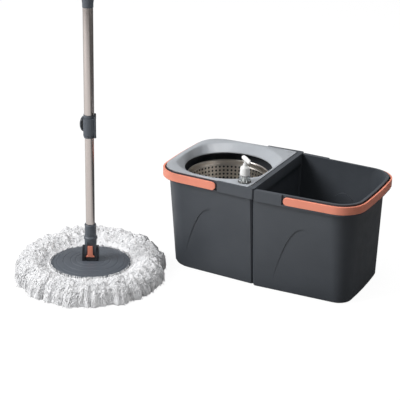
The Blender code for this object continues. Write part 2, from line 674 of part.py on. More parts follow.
def make_socket(stand):
    neck_foot, flange_foot, flange_top = 67.5, 80.0, 86.0
    profile = [(0, neck_foot), (11.0, neck_foot), (12.0, neck_foot + 1.5), (12.0, flange_foot),
               (13.4, flange_foot + 1), (13.4, flange_top - 1.4), (12.2, flange_top),
               (11.5, flange_top + 1), (11.2, SOCKET_TOP - 5), (11.7, SOCKET_TOP - 4),
               (11.7, SOCKET_TOP - 1), (11.0, SOCKET_TOP), (LOWER_TUBE + 0.3, SOCKET_TOP),
               (LOWER_TUBE + 0.3, 80), (0, 80)]
    socket = lathe("tube_socket", profile, "plate_grey", 28, parent=stand)
    reach = 14.6
    side = 10.0
    swing = math.degrees(math.asin(side / reach))
    tongue = [(side, neck_foot + 3), (-side, neck_foot + 3)]
    tongue += arc((0, PIN_Z), reach, 270 - swing, 270 + swing, 8)
    fill(socket, "socket_tongue", prism_mesh(tongue, -11.0, 11.0, "X"), parent=stand)
    cut(socket, "latch_slot", box_mesh((-6.1, -30, 30), (6.1, -7.9, 76.4)), parent=stand)
    cut(socket, "latch_foot_slot", box_mesh((-8.9, -30, 30), (8.9, -7.9, 55)), parent=stand)
    cut(socket, "socket_bore", cylinder_mesh(3.3, -30, 30, "X", (0, PIN_Z), 14), parent=stand)
    cut(socket, "socket_rivet_hole", cylinder_mesh(1.8, 5, 30, "Y", (0, 95), 12), parent=stand)


def make_latch(stand):
    """A T-shaped slider in the tongue's front; its foot keys the handle upright."""
    outline = [(-8.5, 44.0), (8.5, 44.0), (8.5, 45.6), (5.2, 48.6), (4.9, 66.8), (4.1, 67.6),
               (-4.1, 67.6), (-4.9, 66.8), (-5.2, 48.6), (-8.5, 45.6)]
    add_object("lock_latch", prism_mesh(outline, -11.8, -8.2, "Y"), "coral", parent=stand)


# ---- mop handle ----------------------------------------------------------------------------
def tube(name, radius, wall, low, high, slot, parent, segments=20):
    return lathe(name, [(radius - wall, low), (radius, low), (radius, high),
                        (radius - wall, high)], slot, segments, parent=parent)


def make_handle(stand):
    lower = tube("lower_tube", LOWER_TUBE, TUBE_WALL, 80.3, LOWER_TUBE_TOP, "steel", stand)
    cut(lower, "tube_rivet_hole", cylinder_mesh(1.8, 5, 30, "Y", (0, 95), 12), parent=stand)
    rivet = lathe("socket_rivet", [(0, 6.4), (1.5, 6.4), (1.5, 11.7), (3.0, 11.7), (2.4, 12.8),
                                   (0, 13.2)], "steel", 12, at=(0, 0, 95), parent=stand)
    rivet.rotation_euler = (math.radians(-90), 0, 0)
    inner = LOWER_TUBE - TUBE_WALL - 0.2
    lathe("drive_nut", [(4.4, LOWER_TUBE_TOP - 18), (inner, LOWER_TUBE_TOP - 18),
                        (inner, LOWER_TUBE_TOP), (4.4, LOWER_TUBE_TOP)], "white_plastic", 16,
          parent=stand)
    lathe("guide_bush", [(4.4, LOWER_TUBE_TOP + GAP), (9.0, LOWER_TUBE_TOP + GAP),
                         (9.0, LOWER_TUBE_TOP + 12), (4.4, LOWER_TUBE_TOP + 12)],
          "black_plastic", 16, parent=stand)
    make_collar(stand)
    make_upper_handle(stand)
    make_drive_rod(stand)


LEVER_PIN = (11.7, -8.2)


def make_collar(stand):
    bore, shoulder = LOWER_TUBE + 0.3, COLLAR_FOOT + 12
    wide = UPPER_TUBE + 0.3
    profile = [(bore, COLLAR_FOOT), (10.4, COLLAR_FOOT), (11.5, COLLAR_FOOT + 3),
               (11.5, COLLAR_TOP - 6), (10.8, COLLAR_TOP), (wide, COLLAR_TOP),
               (wide, shoulder), (bore, shoulder)]
    collar = lathe("lock_collar", profile, "plate_grey", 28, parent=stand)
    x, y = LEVER_PIN
    for place, low in (("low", COLLAR_FOOT + 1.5), ("high", COLLAR_TOP - 6)):
        web = [(x + 2.2, y - 1.6), (x + 2.6, y + 0.4), (x + 1.2, y + 2.4), (10.8, 1.5),
               (10.9, -2.5), (9.0, -6.6), (x - 1.6, y - 2.2), (x + 0.8, y - 2.6)]
        fill(collar, "ear_" + place, prism_mesh(web, low, low + 4.4), parent=stand)
    middle = COLLAR_TOP - 18.6
    bow = bow_outline(-10.6, 7.4, middle, 14.5)
    fill(collar, "bow", prism_mesh(bow, -4.5, 4.5, "Y"), parent=stand)
    gap = bow_outline(-11.7, 3.6, middle, 11.5)
    cut(collar, "bow_gap", prism_mesh(gap, -15, 15, "Y"), parent=stand)
    pad = bow_outline(-11.7 - GAP, 3.0, middle, 10.6)
    add_object("thumb_pad", prism_mesh(pad, -3.6, 3.6, "Y"), "black_plastic", parent=stand)
    cut(collar, "ear_holes", cylinder_mesh(1.6, 280, 360, centre=LEVER_PIN, segments=16),
        parent=stand)
    lathe("lever_pin", [(0, COLLAR_FOOT + 1), (1.3, COLLAR_FOOT + 1), (1.3, COLLAR_TOP - 1.3),
                        (2.6, COLLAR_TOP - 1.3), (2.6, COLLAR_TOP + 4), (1.8, COLLAR_TOP + 5),
                        (0, COLLAR_TOP + 5)], "black_plastic", 12, (x, y, 0), stand)
    make_lever(stand)


def bow_outline(root, reach, middle, half_height, steps=10):
    """Half a lens, bulging to -X from an upright line at root."""
    points = []
    for index in range(steps + 1):
        turn = math.pi * index / steps
        points.append((root - reach * math.sin(turn), middle - half_height * math.cos(turn)))
    return points


def make_lever(stand):
    """A curved cam plate over the collar's front, hinged on the upright pin at its right."""
    low, high = COLLAR_FOOT + 6.4, COLLAR_TOP - 6.5
    outline = arc((0, 0), 14.1, -140, -40, 12) + arc((0, 0), 11.9, -41, -142, 12)
    x, y = LEVER_PIN
    outline = [(u - x, v - y) for u, v in outline]
    lever = add_object("lock_lever", prism_mesh(outline, low, high), "plate_grey",
                       (x, y, 0), stand)
    fill(lever, "lever_knuckle", cylinder_mesh(2.4, low, high, segments=16), (x, y, 0), stand)
    cut(lever, "lever_bore", cylinder_mesh(1.6, low - 9, high + 9, segments=16), (x, y, 0),
        stand)


def make_upper_handle(stand):
    tube("outer_tube", UPPER_TUBE, TUBE_WALL, COLLAR_FOOT + 12 + GAP, JOINER_FOOT + 30,
         "steel", stand)
    wide = UPPER_TUBE + 0.3
    foot = JOINER_FOOT
    lathe("joiner_sleeve", [(wide, foot), (10.6, foot), (10.6, foot + 8), (11.0, foot + 10),
                            (11.8, foot + 16), (11.8, foot + 78), (10.9, foot + 84),
                            (wide, foot + 84), (wide, foot + 31), (9.5, foot + 31),
                            (9.5, foot + 30 + GAP), (wide, foot + 30 + GAP)],
          "plate_grey", 18, parent=stand)
    tube("top_tube", UPPER_TUBE, TUBE_WALL, foot + 31 + GAP, GRIP_TOP - 20, "steel", stand)
    waves = []
    steps = 12
    for index in range(steps + 1):
        share = index / steps
        radius = 13.6 + 1.1 * math.sin(share * math.pi) - 0.7 * math.cos(share * 6 * math.pi)
        waves.append((radius, GRIP_FOOT + 4 + (GRIP_TOP - 4 - GRIP_FOOT) * share))
    lathe("grip", [(wide, GRIP_FOOT), (11.8, GRIP_FOOT)] + waves + [(wide, GRIP_TOP)],
          "plate_grey", 16, parent=stand)
    cap = lathe("end_cap", [(0, GRIP_TOP - 18), (9.0, GRIP_TOP - 18), (9.0, GRIP_TOP + GAP),
                            (13.2, GRIP_TOP + GAP), (13.2, GRIP_TOP + 8), (11.5, GRIP_TOP + 24),
                            (8.0, GRIP_TOP + 36), (4.0, GRIP_TOP + 40), (0, GRIP_TOP + 41)],
                "plate_grey", 16, parent=stand)
    cut(cap, "hanging_eye", cylinder_mesh(5.0, -30, 30, "Y", (0, GRIP_TOP + 22), 14),
        at=(MOP_X, MOP_Y, 0))


def make_drive_rod(stand):
    """A flat strip twisted two turns, held in a plug inside the upper tube."""
    rings = []
    steps, turns = 24, 2.0
    for index in range(steps + 1):
        share = index / steps
        angle = 2 * math.pi * turns * share
        ring = []
        for x, y in ((3.4, 1.0), (-3.4, 1.0), (-3.4, -1.0), (3.4, -1.0)):
            ring.append((x * math.cos(angle) - y * math.sin(angle),
                         x * math.sin(angle) + y * math.cos(angle),
                         ROD_FOOT + (ROD_TOP - ROD_FOOT) * share))
        rings.append(ring)
    add_object("drive_rod", loft_mesh(rings), "steel", parent=stand)
    lathe("rod_anchor", [(0, ROD_TOP + GAP), (9.0, ROD_TOP + GAP), (9.0, ROD_TOP + 22),
                         (0, ROD_TOP + 22)], "black_plastic", 16, parent=stand)


def main():
    clear_scene()
    make_rinse_bucket()
    make_wringer_bucket()
    make_bail("rinse", 1, RIM_TOP - RINSE_STEP)
    make_bail("wringer", -1, RIM_TOP)
    make_deck()
    make_basket()
    make_pump()
    stand = bpy.data.objects.new("mop_stand", None)
    bpy.context.collection.objects.link(stand)
    stand.location = (MOP_X * MM, MOP_Y * MM, 0)
    stand.rotation_euler = (0, 0, MOP_TURN)
    make_head(stand)
    make_socket(stand)
    make_latch(stand)
    make_handle(stand)


main()
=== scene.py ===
"""The looks of a spin mop and its twin bucket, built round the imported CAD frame. Metres, +Z up."""

import json
import math
import random

import bmesh
import bpy
from mathutils import Matrix, Vector, noise
from mathutils.bvhtree import BVHTree


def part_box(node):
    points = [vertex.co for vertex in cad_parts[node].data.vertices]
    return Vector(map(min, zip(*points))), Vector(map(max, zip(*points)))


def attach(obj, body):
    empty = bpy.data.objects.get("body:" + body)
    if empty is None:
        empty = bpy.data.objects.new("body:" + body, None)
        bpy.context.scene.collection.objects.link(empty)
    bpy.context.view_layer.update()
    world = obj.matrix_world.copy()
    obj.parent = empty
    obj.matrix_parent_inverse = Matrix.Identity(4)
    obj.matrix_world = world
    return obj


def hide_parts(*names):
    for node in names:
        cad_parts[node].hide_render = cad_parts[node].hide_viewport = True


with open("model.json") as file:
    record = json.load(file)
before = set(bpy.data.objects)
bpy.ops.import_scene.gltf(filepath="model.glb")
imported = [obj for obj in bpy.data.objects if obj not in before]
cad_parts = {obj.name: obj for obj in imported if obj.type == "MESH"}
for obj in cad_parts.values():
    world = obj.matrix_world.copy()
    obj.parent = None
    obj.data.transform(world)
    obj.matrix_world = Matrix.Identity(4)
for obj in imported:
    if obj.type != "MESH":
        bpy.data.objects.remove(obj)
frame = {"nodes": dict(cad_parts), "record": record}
NODES = frame["nodes"]
SLOTS = {part["node"]: part["material_slot"] for part in frame["record"]["subparts"]}
BODIES = {node: body for body, nodes in frame["record"]["behaviour"]["bodies"].items()
          for node in nodes}
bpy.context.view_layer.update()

MOP_TURN = math.radians(26.9)     # the tilt pin's direction
MOP_AXIS = sum(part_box("top_tube"), Vector()) / 2
PUMP_AXIS = sum(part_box("pump_stem"), Vector()) / 2
BASKET_AXIS = Vector()
SAME_PLACE = 2e-6                 # CAD vertices nearer than this are one


# ---- node helpers --------------------------------------------------------------------------
class Nodes:
    """Short ways of adding nodes to a node tree."""

    def __init__(self, tree):
        self.tree = tree

    def add(self, kind, **settings):
        node = self.tree.nodes.new(kind)
        for name, value in settings.items():
            setattr(node, name, value)
        return node

    def link(self, output, node, socket):
        self.tree.links.new(output, node.inputs[socket])

    def spread(self, value, low, high, start=0.3, end=0.7):
        """Map start..end of a value onto low..high, and hold it beyond."""
        node = self.add("ShaderNodeMapRange")
        for socket, number in (("From Min", start), ("From Max", end), ("To Min", low),
                               ("To Max", high)):
            node.inputs[socket].default_value = number
        self.link(value, node, "Value")
        return node.outputs["Result"]

    def along(self, place, direction):
        """How far a place, or a ray of length 1, reaches along a direction."""
        node = self.add("ShaderNodeVectorMath", operation="DOT_PRODUCT")
        node.inputs[1].default_value = direction
        self.link(place, node, 0)
        return node.outputs["Value"]

    def joined(self, operation, first, second):
        node = self.add("ShaderNodeMath", operation=operation)
        self.link(first, node, 0)
        self.link(second, node, 1)
        return node.outputs["Value"]


class Shader(Nodes):
    """A Principled material; its textures lie in the object's own metres."""

    def __init__(self, name, **values):
        self.material = bpy.data.materials.new(name)
        self.material.use_nodes = True
        super().__init__(self.material.node_tree)
        self.principled = self.tree.nodes["Principled BSDF"]
        for socket, value in values.items():
            self.principled.inputs[socket.replace("_", " ")].default_value = value
        self.place = self.add("ShaderNodeTexCoord").outputs["Object"]

    def noise(self, scale, detail=3.0, stretch=(1, 1, 1)):
        mapping = self.add("ShaderNodeMapping")
        mapping.inputs["Scale"].default_value = stretch
        self.link(self.place, mapping, "Vector")
        node = self.add("ShaderNodeTexNoise")
        node.inputs["Scale"].default_value = scale
        node.inputs["Detail"].default_value = detail
        self.link(mapping.outputs["Vector"], node, "Vector")
        return node.outputs["Fac"]

    def colour(self, share, first, second):
        node = self.add("ShaderNodeMix", data_type="RGBA")
        node.inputs["A"].default_value = (*first, 1)
        node.inputs["B"].default_value = (*second, 1)
        self.link(share, node, "Factor")
        self.link(node.outputs["Result"], self.principled, "Base Color")

    def roughness(self, value, low, high):
        self.link(self.spread(value, low, high), self.principled, "Roughness")

    def bump(self, height, strength, distance):
        node = self.add("ShaderNodeBump")
        node.inputs["Strength"].default_value = strength
        node.inputs["Distance"].default_value = distance
        self.link(height, node, "Height")
        self.link(node.outputs["Normal"], self.principled, "Normal")


# ---- materials -----------------------------------------------------------------------------
def tint(colour, share):
    return tuple(channel * share for channel in colour)


def moulded(name, colour, rough, grain=0.12):
    """Injection-moulded plastic: cloudy colour, a fine spark-eroded grain and uneven gloss."""
    shader = Shader(name)
    cloud = shader.noise(scale=14, detail=4)
    shader.colour(shader.spread(cloud, 0, 1), tint(colour, 0.93), tint(colour, 1.07))
    shader.roughness(shader.noise(scale=45), rough - 0.05, rough + 0.06)
    shader.bump(shader.noise(scale=1400, detail=2), grain, 0.0002)
    return shader.material


def metal(name, colour, rough, stretch, scale, relief):
    """Metal with fine lines drawn along its long direction and a little cloudiness."""
    shader = Shader(name, Metallic=1.0)
    lines = shader.noise(scale, stretch=stretch)
    shader.colour(shader.spread(lines, 0, 1), tint(colour, 0.93), tint(colour, 1.05))
    shader.roughness(lines, rough - 0.02, rough + 0.04)
    shader.bump(lines, relief, 0.0001)
    return shader.material


def fibre(name):
    """Microfibre yarn: white, fuzzy, a little greyer in patches."""
    shader = Shader(name, Roughness=1.0, Sheen_Weight=0.4, Sheen_Roughness=0.7)
    patches = shader.noise(scale=70, detail=5)
    shader.colour(shader.spread(patches, 0, 1), (0.68, 0.685, 0.70), (0.77, 0.77, 0.78))
    shader.bump(shader.noise(scale=900, detail=4), 0.5, 0.0006)
    return shader.material


def clear(name):
    """See-through plastic, a little uneven in its gloss and its surface."""
    shader = Shader(name, Transmission_Weight=0.92, IOR=1.46, Base_Color=(0.93, 0.95, 0.95, 1))
    shader.roughness(shader.noise(scale=90), 0.04, 0.14)
    shader.bump(shader.noise(scale=300, detail=2), 0.04, 0.0002)
    return shader.material


MATERIALS = {
    "bucket_grey": moulded("bucket_plastic", (0.062, 0.070, 0.082), rough=0.42),
    "deck_grey": moulded("deck_plastic", (0.385, 0.407, 0.435), rough=0.34),
    "coral": moulded("coral_plastic", (0.86, 0.29, 0.19), rough=0.38),
    "steel": metal("tube_steel", (0.56, 0.505, 0.48), rough=0.22, stretch=(1, 1, 0.02),
                   scale=600, relief=0.05),
    "polished_steel": metal("basket_steel", (0.66, 0.62, 0.57), rough=0.30,
                            stretch=(1, 1, 0.1), scale=60, relief=0.01),
    "plate_grey": moulded("mop_plastic", (0.078, 0.090, 0.108), rough=0.46, grain=0.2),
    # black_plastic also colours the thumb_pad, a black pad filling the lock collar's bow: painted
    # shade standing in for the shadow in the bow's gap
    "black_plastic": moulded("black_plastic", (0.018, 0.020, 0.025), rough=0.42),
    "white_plastic": moulded("white_plastic", (0.84, 0.84, 0.83), rough=0.30, grain=0.05),
    "clear_plastic": clear("clear_plastic"),
    "yarn": fibre("microfibre"),
}


# ---- mesh helpers --------------------------------------------------------------------------
def link_mesh(name, bm):
    """Put a mesh into the scene as a new object."""
    mesh = bpy.data.meshes.new(name)
    bm.to_mesh(mesh)
    bm.free()
    obj = bpy.data.objects.new(name, mesh)
    bpy.context.scene.collection.objects.link(obj)
    return obj


def shade(mesh, sharp):
    """Smooth a mesh except where its faces meet by more than so many degrees."""
    mesh.shade_smooth()
    mesh.set_sharp_from_angle(angle=math.radians(sharp))


def piece(name, bm, body, slot, sharp, stands_for):
    """Turn a mesh in world metres into a shown piece that rides on a body."""
    bmesh.ops.recalc_face_normals(bm, faces=bm.faces)
    obj = link_mesh(name, bm)
    obj.data.materials.append(MATERIALS[slot])
    shade(obj.data, sharp)
    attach(obj, body)
    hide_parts(*stands_for)
    return obj


def keep_modifiers(obj, sharp):
    """Turn a piece's modifiers into plain mesh, with sharp edges of its own."""
    made = obj.evaluated_get(bpy.context.evaluated_depsgraph_get())
    mesh = bpy.data.meshes.new_from_object(made)
    obj.modifiers.clear()
    obj.data = mesh
    shade(mesh, sharp)


def around(bm, centre, radius, angle, z):
    """A new vertex at a radius and an angle about an upright axis."""
    return bm.verts.new((centre[0] + radius * math.cos(angle),
                         centre[1] + radius * math.sin(angle), z))


def bridge(bm, first, second):
    """Join two closed rings of vertices by faces; a ring of one vertex is a pole."""
    for index in range(max(len(first), len(second))):
        after = index + 1
        corners = [first[index % len(first)], first[after % len(first)],
                   second[after % len(second)], second[index % len(second)]]
        bm.faces.new(list(dict.fromkeys(corners)))


# ---- turned parts --------------------------------------------------------------------------
AXIS_RADIUS = 1e-6                # a profile's points nearer the axis than this are poles
OFF_COLUMN, PAST_AXIS = 8e-6, -1e-5        # how exactly a CAD vertex lies on its column
SHARP_BEND = math.radians(32)     # a corner that bends more is an edge, not part of a curve
ROUND_REACH, ROUND_STEPS = 0.45, 4         # the share of a side that a round may take
PLATE_TOP_LOW = 0.0285            # the plate's underside, below this, has no grooves
GROOVE_WIDTH, GROOVE_DEPTH = 0.0016, 0.0005
PLATE_GROOVES = (0.0300, 0.0400, 0.0550, 0.0680, 0.0750)     # their radii on the plate
TURNED_SHARP = 35                 # degrees
ON_MOP = ("lower_tube", "outer_tube", "top_tube", "joiner_sleeve", "grip", "refill_ring",
          "plate_screw", "guide_bush", "drive_nut", "rod_anchor")
ON_PUMP = ("pump_bottle", "pump_cap", "pump_cylinder", "pump_stem", "dip_tube")
ON_BASKET = ("basket_hub", "hub_ring", "hub_cap", "spindle", "spindle_bearing")


def lathe_mesh(profile, centre, segments, closed):
    """Turn a profile of (radius, z) about an upright axis."""
    bm = bmesh.new()
    rings = []
    for radius, z in profile:
        if radius < AXIS_RADIUS:
            rings.append([around(bm, centre, 0, 0, z)])
            continue
        rings.append([around(bm, centre, radius, 2 * math.pi * index / segments, z)
                      for index in range(segments)])
    following = rings[1:] + (rings[:1] if closed else [])
    for first, second in zip(rings, following):
        bridge(bm, first, second)
    return bm


def cad_profile(node, centre, turn):
    """The (radius, z) outline of a turned CAD part, read along one column of its vertices."""
    bm = bmesh.new()
    bm.from_mesh(NODES[node].data)
    bmesh.ops.remove_doubles(bm, verts=bm.verts, dist=SAME_PLACE)
    direction = Vector((math.cos(turn), math.sin(turn)))
    column = {}
    for vert in bm.verts:
        offset = Vector((vert.co.x - centre[0], vert.co.y - centre[1]))
        out = offset.dot(direction)
        if (offset - direction * out).length < OFF_COLUMN and out > PAST_AXIS:
            column[vert] = (offset.length, vert.co.z)
    links = {vert: [edge.other_vert(vert) for edge in vert.link_edges
                    if edge.other_vert(vert) in column] for vert in column}
    ends = [vert for vert in column if len(links[vert]) == 1]
    chain = [min(ends or column, key=lambda vert: vert.co.z)]
    while True:
        ahead = [vert for vert in links[chain[-1]] if vert not in chain]
        if not ahead:
            break
        chain.append(ahead[0])
    outline = [column[vert] for vert in chain]
    bm.free()
    return outline, not ends


def softened(outline, closed, fillet):
    """Round an outline's corners: sharp ones by a small fillet, shallow ones as far as fits."""
    points = []
    count = len(outline)
    for index, corner in enumerate(outline):
        if not closed and index in (0, count - 1):
            points.append(corner)
            continue
        here = Vector(corner)
        before = Vector(outline[index - 1]) - here
        after = Vector(outline[(index + 1) % count]) - here
        reach = min(before.length, after.length) * ROUND_REACH
        if math.pi - before.angle(after) > SHARP_BEND:
            reach = min(reach, fillet)
        for step in range(ROUND_STEPS + 1):
            share = step / ROUND_STEPS
            first = here + before.normalized() * reach * (1 - share)
            second = here + after.normalized() * reach * share
            point = first * (1 - share) + second * share
            points.append((point.x, point.y))
    return points


def grooved(outline, radii, lowest):
    """Cut a shallow groove at each radius into the part of an outline above a height."""
    points = []
    for first, second in zip(outline, outline[1:] + outline[:1]):
        points.append(first)
        inner, outer = sorted((first[0], second[0]))
        if min(first[1], second[1]) < lowest:
            continue
        inside = [radius for radius in radii if inner < radius < outer]
        way = 1 if second[0] > first[0] else -1
        for radius in sorted(inside, reverse=way < 0):
            for across, depth in ((-1, 0), (-0.5, 1), (0.5, 1), (1, 0)):
                place = radius + way * across * GROOVE_WIDTH / 2
                share = (place - first[0]) / (second[0] - first[0])
                points.append((place, first[1] + (second[1] - first[1]) * share
                               - depth * GROOVE_DEPTH))
    return points


def turned(node, centre, turn=0.0, fillet=0.0005, segments=80, grooves=()):
    """Replace a turned CAD part by one with a finer circle and rounded edges."""
    outline, closed = cad_profile(node, centre, turn)
    outline = grooved(outline, grooves, PLATE_TOP_LOW) if grooves else outline
    bm = lathe_mesh(softened(outline, closed, fillet), centre, segments, closed)
    piece(node + "_fine", bm, BODIES[node], SLOTS[node], TURNED_SHARP, (node,))


def make_turned_parts():
    turned("mop_plate", MOP_AXIS, MOP_TURN, segments=160, grooves=PLATE_GROOVES)
    for node in ON_MOP:
        turned(node, MOP_AXIS, MOP_TURN)
    for node in ON_PUMP:
        turned(node, PUMP_AXIS, fillet=0.0007, segments=56)
    for node in ON_BASKET:
        turned(node, BASKET_AXIS)


# ---- parts that keep their CAD shape -------------------------------------------------------
EDGE_ROUNDS = {"wringer_bucket": 0.0008, "rinse_bucket": 0.0008, "wringer_bail": 0.0009,
               "rinse_bail": 0.0009, "lock_collar": 0.0006, "lock_lever": 0.0006,
               "tube_socket": 0.0005, "yoke": 0.0012, "lock_latch": 0.0006,
               "thumb_pad": 0.0005, "end_cap": 0.0006, "pump_nozzle": 0.0004}
ROUNDED_FROM = math.radians(28)   # edges that bend more than this are rounded
FLAT_WITHIN = math.radians(0.4)


def dress_cad_node(node):
    """Give a CAD part its material, and a small round on its edges if it is listed above."""
    obj = NODES[node]
    obj.data.materials.clear()
    obj.data.materials.append(MATERIALS[SLOTS[node]])
    if node not in EDGE_ROUNDS:
        return
    weld = obj.modifiers.new("weld", "WELD")
    weld.merge_threshold = SAME_PLACE
    merge = obj.modifiers.new("flatten", "DECIMATE")
    merge.decimate_type = "DISSOLVE"
    merge.angle_limit = FLAT_WITHIN
    bevel = obj.modifiers.new("edges", "BEVEL")
    bevel.width = EDGE_ROUNDS[node]
    bevel.segments = 3
    bevel.limit_method = "ANGLE"
    bevel.angle_limit = ROUNDED_FROM
    bevel.harden_normals = False
    smooth = obj.modifiers.new("normals", "WEIGHTED_NORMAL")
    smooth.keep_sharp = False


# ---- stage ---------------------------------------------------------------------------------
CAMERA_AT = (1.0469, -2.1923, 1.0985)
CAMERA_AZIMUTH, CAMERA_ELEVATION, CAMERA_ROLL = 26.87, 21.80, 1.3     # degrees
CAMERA_LENS, CAMERA_SENSOR = 114.14, 36.0                             # millimetres
SKY_LEAST, SKY_LEFT = 0.01, 0.7   # strength of the sky, rising towards the mop's side
SKY_GLOW = 1.5                    # and of the low glow behind the rinse bucket
GLOW_WAY = (0.85, 0.53, 0)
FLOOR_SIZE, FLOOR_BELOW = 12, 0.0003
FLOOR_FRONT_WAY = (-0.6, -0.8, 0)
FLOOR_FRONT, FLOOR_BACK = 0.78, 0.12       # painted reflection and shade: what reflects and bounces off the floor, bright before the object and dark behind
FADE_START, FADE_END = -0.10, 0.35         # where it changes, measured along that way
FLOOR_GLOW, FLOOR_SHADOW = 1.05, 0.10      # what the camera sees: white, a little shadow
# each light's place, what it is aimed at, its side and its power
LIGHTS = {"key": ((-2.3, -2.4, 2.6), (0, -0.05, 0.1), 1.8, 148),
          "top": ((0.6, 0.0, 3.2), (0, 0, 0), 1.4, 54)}


def make_camera():
    data = bpy.data.cameras.new("camera")
    data.lens = CAMERA_LENS
    data.sensor_width = CAMERA_SENSOR
    camera = bpy.data.objects.new("camera", data)
    bpy.context.scene.collection.objects.link(camera)
    azimuth, elevation = math.radians(CAMERA_AZIMUTH), math.radians(CAMERA_ELEVATION)
    turn = Matrix.Rotation(azimuth, 4, "Z") @ Matrix.Rotation(math.pi / 2 - elevation, 4, "X")
    roll = Matrix.Rotation(math.radians(CAMERA_ROLL), 4, "Z")
    camera.matrix_world = Matrix.Translation(CAMERA_AT) @ turn @ roll
    bpy.context.scene.camera = camera


def make_light(name, at, towards, size, energy):
    data = bpy.data.lights.new(name, "AREA")
    data.shape = "SQUARE"
    data.size = size
    data.energy = energy
    light = bpy.data.objects.new(name, data)
    bpy.context.scene.collection.objects.link(light)
    light.location = at
    light.rotation_mode = "QUATERNION"
    light.rotation_quaternion = (Vector(towards) - Vector(at)).to_track_quat("-Z", "Y")


def make_world():
    """Soft light from the mop's side, and a low glow from behind the rinse bucket."""
    world = bpy.data.worlds.new("studio")
    bpy.context.scene.world = world
    world.use_nodes = True
    sky = Nodes(world.node_tree)
    ray = sky.add("ShaderNodeTexCoord").outputs["Generated"]
    left = sky.spread(sky.along(ray, (-1, 0, 0)), SKY_LEAST, SKY_LEFT, 0.0, 0.9)
    behind = sky.spread(sky.along(ray, GLOW_WAY), 0, 1, 0.2, 0.85)
    low = sky.spread(sky.along(ray, (0, 0, 1)), SKY_GLOW, 0, 0.02, 0.3)
    strength = sky.joined("ADD", left, sky.joined("MULTIPLY", behind, low))
    background = world.node_tree.nodes["Background"]
    sky.link(strength, background, "Strength")
    background.inputs["Color"].default_value = (1, 1, 1, 1)


def floor_with_painted_reflection():
    """White to the camera; to other rays a painted reflection and shade: a paint that is bright only
    before the object and dark behind it.
    """
    shader = Shader("floor_with_painted_reflection", Roughness=0.9)
    front = shader.along(shader.place, FLOOR_FRONT_WAY)
    # painted reflection and painted shade: darker behind the object, for rays other than the
    # camera's
    shader.colour(shader.spread(front, 0, 1, FADE_START, FADE_END),
                  (FLOOR_BACK,) * 3, (FLOOR_FRONT,) * 3)
    glow = shader.add("ShaderNodeEmission")
    glow.inputs["Strength"].default_value = FLOOR_GLOW
    paint = shader.add("ShaderNodeBsdfDiffuse")
    paint.inputs["Color"].default_value = (0.93, 0.93, 0.93, 1)
    seen = shader.add("ShaderNodeMixShader")
    seen.inputs["Fac"].default_value = FLOOR_SHADOW
    shader.link(glow.outputs["Emission"], seen, 1)
    shader.link(paint.outputs["BSDF"], seen, 2)
    path = shader.add("ShaderNodeLightPath")
    both = shader.add("ShaderNodeMixShader")
    shader.link(path.outputs["Is Camera Ray"], both, "Fac")
    shader.link(shader.principled.outputs["BSDF"], both, 1)
    shader.link(seen.outputs["Shader"], both, 2)
    shader.link(both.outputs["Shader"], shader.tree.nodes["Material Output"], "Surface")
    return shader.material


def make_floor():
    bm = bmesh.new()
    bmesh.ops.create_grid(bm, x_segments=8, y_segments=8, size=FLOOR_SIZE)
    floor = link_mesh("floor", bm)
    floor.data.materials.append(floor_with_painted_reflection())
    floor.location.z = -FLOOR_BELOW


def make_stage():
    bpy.context.scene.view_settings.view_transform = "Standard"
    make_camera()
    make_world()
    make_floor()
    for name, settings in LIGHTS.items():
        make_light(name, *settings)


# ---- mop strings ---------------------------------------------------------------------------
YARN_START, YARN_REACH = 0.0812, 0.1530    # where it comes up beside the plate, and ends
YARN_LONG_WAY = math.radians(-63)          # from the plate's middle towards the front
YARN_OVAL = 0.0035
YARN_CLUMPS = ((5, 1, 0.010), (17, 5, 0.009))      # how fine, layer of the noise, depth
HEAP_LUMPS = ((60, 0.0050), (160, 0.0026))         # how fine, and how high
# share of the way from the plate's edge to the outside, and height
YARN_FRONT = ((0.0, 0.0262), (0.06, 0.0268), (0.22, 0.0330), (0.42, 0.0390), (0.60, 0.0375),
              (0.78, 0.0300), (0.90, 0.0190), (1.0, 0.0030))
YARN_BACK = ((0.0, 0.0262), (0.06, 0.0278), (0.25, 0.0345), (0.50, 0.0425), (0.80, 0.0440),
             (0.92, 0.0390), (0.975, 0.0280), (1.0, 0.0060))
YARN_INSIDE, YARN_UNDER_PLATE = 0.0745, 0.0243
OVER_FLOOR, OVER_PLATE = 0.0004, 0.0312    # the yarn stays above these
CORE_AROUND, CORE_ACROSS = 420, 44
CORE_GAP, CORE_WITHIN, CORE_FOOT = 0.0003, 0.001, 0.002
TUFT_COUNT, EDGE_TUFT_COUNT = 7000, 700    # over the heap, and in over the plate's edge
TUFT_RADIUS = 0.0010
TUFT_SIDES, TUFT_POINTS = 4, 7
TUFT_ROOT = 0.0012                # how deep they are rooted in the heap
TUFT_ARCH, TUFT_BEND = 1.9, 0.7   # upwards and sideways, in radians
TUFT_MARGIN = 0.003
TUFT_SWAY, EDGE_TUFT_SWAY = 0.75, 0.5      # how far they stray from straight, in radians
TUFT_LENGTH, EDGE_TUFT_LENGTH = (0.008, 0.018), (0.004, 0.008)
TUFT_LIFT, EDGE_TUFT_LIFT = (0.0004, 0.0022), (0.002, 0.004)
EDGE_TUFT_START, EDGE_TUFT_SPREAD = 0.005, 1.3


def reach_at(angle):
    """The yarn lies a little further out behind the plate than before it or at its sides."""
    way = angle - YARN_LONG_WAY
    reach = YARN_REACH + YARN_OVAL * (math.cos(2 * way) - math.cos(way))
    for fine, layer, depth in YARN_CLUMPS:
        reach += depth * noise.noise(Vector((fine * math.cos(angle), fine * math.sin(angle),
                                             layer)))
    return reach


def along_profile(profile, share):
    """The height of a profile at a share of the way out."""
    if share <= 0:
        return profile[0][1]
    for (low, start), (high, end) in zip(profile, profile[1:]):
        if share <= high:
            return start + (end - start) * (share - low) / (high - low)
    return 0.0


